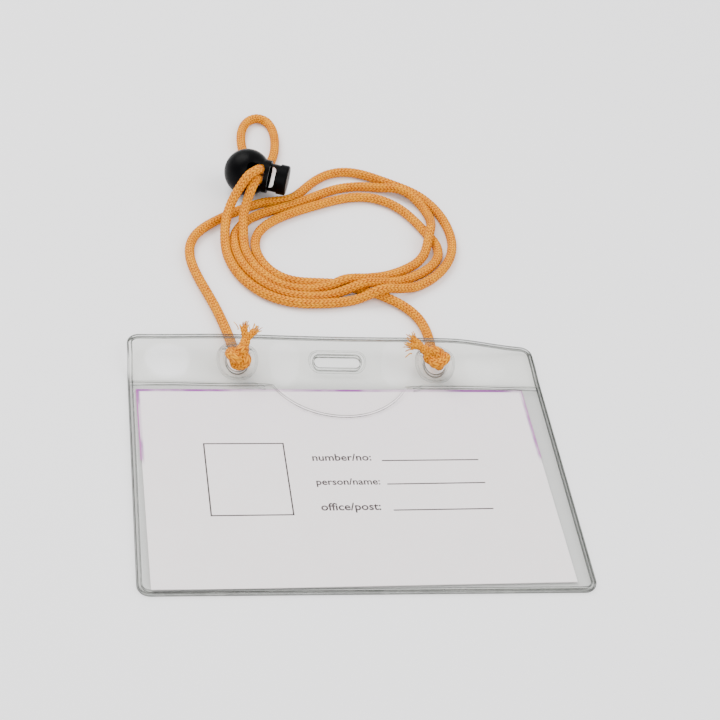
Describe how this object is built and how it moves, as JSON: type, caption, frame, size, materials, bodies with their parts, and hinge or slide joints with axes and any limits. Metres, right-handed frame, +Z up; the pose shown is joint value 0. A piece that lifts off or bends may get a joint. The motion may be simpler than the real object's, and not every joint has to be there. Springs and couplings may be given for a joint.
{
  "type": "lanyard badge holder",
  "caption": "Clear landscape badge holder with an insert card, on a braided neck cord with stopper knots and a spring cord lock.",
  "frame": {"origin": "centre of the holder's underside, with the holder lying flat and face up, measured without the cord", "axes": "+X to the holder's right, +Y towards its top edge and the cord, +Z up out of the card's face"},
  "size_m": [0.137, 0.2369, 0.0188],
  "materials": {
    "clear_vinyl": "clear soft vinyl with a satin sheen, faint ripples and handling scratches",
    "fused_vinyl": "fused vinyl weld, glossy, slightly milky, with fine tool marks",
    "card_paper": "matt off-white card with fine fibre grain and thin printing",
    "slip_paper": "matt paper slip with magenta edges",
    "braided_cord": "golden orange braided polyester, lustrous, with small V stitches",
    "black_plastic": "semi-gloss black moulded plastic with faint grain and rubbed edges",
    "spring_steel": "drawn spring wire"
  },
  "bodies": {
    "holder": {"back_sheet": "clear_vinyl", "header_sheet": "clear_vinyl", "pocket_sheet": "clear_vinyl", "edge_weld": "fused_vinyl", "left_eyelet_weld": "fused_vinyl", "right_eyelet_weld": "fused_vinyl", "slot_weld": "fused_vinyl", "cord_coil": "braided_cord", "cord_left_leg": "braided_cord", "cord_right_leg": "braided_cord", "cord_lock_loop": "braided_cord", "left_knot": "braided_cord", "right_knot": "braided_cord", "left_tail": "braided_cord", "right_tail": "braided_cord", "lock_body": "black_plastic", "lock_spring": "spring_steel"},
    "insert": {"insert_card": "card_paper", "backing_slip": "slip_paper"},
    "plunger": {"lock_plunger": "black_plastic"}
  },
  "joints": [
    {"name": "card_slide", "type": "slide", "parent": "holder", "child": "insert", "axis": [0, 1, 0], "range_m": [0, 0.0025]},
    {"name": "lock_press", "type": "slide", "parent": "holder", "child": "plunger", "axis": [-0.9537, 0.3007, 0], "range_m": [0, 0.0034], "stiffness_N_per_m": 600, "springref_m": -0.002, "deforming": ["lock_spring"]}
  ]
}
